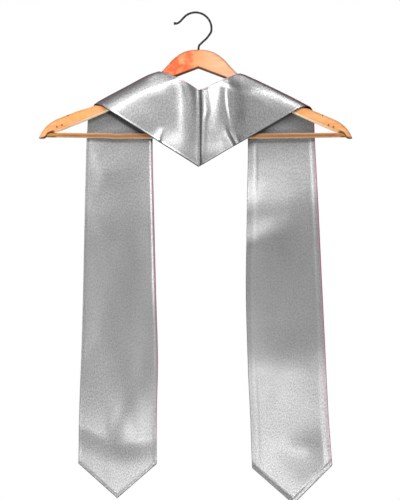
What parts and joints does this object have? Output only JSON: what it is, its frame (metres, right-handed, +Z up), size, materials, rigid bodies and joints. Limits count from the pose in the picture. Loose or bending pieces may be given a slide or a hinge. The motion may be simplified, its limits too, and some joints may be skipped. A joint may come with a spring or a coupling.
{
  "type": "graduation stole on a wooden hanger",
  "caption": "Satin graduation stole with a mitred neck seam and pointed ends, folded over the arms of a flat wooden hanger with a round bar and a wire hook.",
  "frame": {"origin": "inside top of the hook's wire, straight above the centre seam, where a rail carries the hanger", "axes": "+Z up, +X to the viewer's right along the hanger's arms, +Y away from the viewer through the cloth"},
  "size_m": [0.4698, 0.0219, 0.7414],
  "materials": {
    "satin": "silver grey satin with a soft anisotropic sheen and fine grain",
    "wood": "clear satin varnish, orange at the crown and pale tan at the ends",
    "wire": "gloss black",
    "nail": "dark brown, dull"
  },
  "bodies": {
    "root": {"arm_left": "wood", "arm_right": "wood", "bar": "wood", "hook": "wire", "front_left": "satin", "front_right": "satin", "panel_left": "satin", "panel_right": "satin", "nail_left_1": "nail", "nail_left_2": "nail", "nail_left_3": "nail", "nail_right_1": "nail", "nail_right_2": "nail", "nail_right_3": "nail"}
  },
  "joints": []
}
